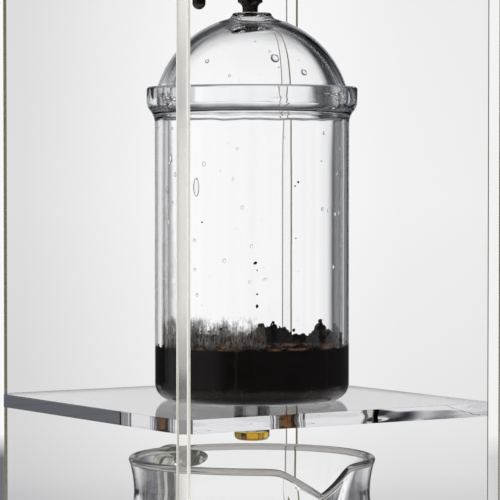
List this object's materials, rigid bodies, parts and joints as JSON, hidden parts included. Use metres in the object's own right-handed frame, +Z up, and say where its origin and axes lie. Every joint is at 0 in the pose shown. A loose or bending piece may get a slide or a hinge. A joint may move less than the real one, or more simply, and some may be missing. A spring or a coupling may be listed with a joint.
{
  "type": "cold drip coffee tower",
  "caption": "Clear acrylic tower with a globe water vessel and drip valve over a glass brew chamber with a dome lid, dripping into a glass carafe.",
  "frame": {"origin": "middle of the footprint, on the surface that the feet stand on", "axes": "+Z up; the carafe pours towards -Y and its handle is at +Y; the valve's lever hangs on the -X side"},
  "size_m": [0.172, 0.172, 0.4984],
  "materials": {
    "acrylic": "clear cast sheet with polished edges",
    "glass": "clear, fire polished",
    "silicone": "matt, translucent grey",
    "steel": "turned",
    "valve_metal": "dark nickel plate, satin",
    "ceramic": "sintered, matt",
    "coffee_grounds": "wet and coarse",
    "coffee": "clear amber liquid"
  },
  "bodies": {
    "frame": {"base_plate": "acrylic", "foot_pads": "silicone", "post_front_left": "acrylic", "post_front_right": "acrylic", "post_back_left": "acrylic", "post_back_right": "acrylic", "middle_shelf": "acrylic", "top_shelf": "acrylic", "base_screws": "steel", "top_screws": "steel", "vessel_seat_ring": "silicone"},
    "chamber": {"brew_chamber": "glass", "filter_disc": "ceramic", "filter_gasket": "silicone", "coffee_bed": "coffee_grounds", "brewed_coffee": "coffee"},
    "dome": {"dome_lid": "glass"},
    "vessel": {"water_vessel": "glass", "valve_body": "valve_metal", "valve_washers": "silicone", "valve_nut": "valve_metal", "packing_ring": "silicone", "gland_nut": "valve_metal", "drip_nozzle": "valve_metal"},
    "lever": {"valve_spindle": "valve_metal", "valve_lever": "valve_metal", "lever_screw": "steel"},
    "vessel_cover": {"vessel_lid": "glass", "lid_knob": "valve_metal", "lid_screw": "steel"},
    "carafe": {"carafe": "glass", "carafe_handle": "glass"}
  },
  "joints": [
    {"name": "chamber_turn", "type": "hinge", "parent": "frame", "child": "chamber", "pos_m": [0, -0.008, 0.16], "axis": [0, 0, 1], "continuous": true},
    {"name": "dome_lift", "type": "slide", "parent": "chamber", "child": "dome", "axis": [0, 0, 1], "range_m": [0, 0.0025]},
    {"name": "vessel_lift", "type": "slide", "parent": "frame", "child": "vessel", "axis": [0, 0, 1], "range_m": [0, 0.12]},
    {"name": "lever_turn", "type": "hinge", "parent": "vessel", "child": "lever", "pos_m": [-0.0272, -0.0065, 0.35597], "axis": [1, 0, 0], "range_deg": [0, 90]},
    {"name": "vessel_lid_lift", "type": "slide", "parent": "vessel", "child": "vessel_cover", "axis": [0, 0, 1], "range_m": [0, 0.08]},
    {"name": "carafe_slide", "type": "slide", "parent": "frame", "child": "carafe", "axis": [0, 1, 0], "range_m": [0, 0.15]}
  ]
}
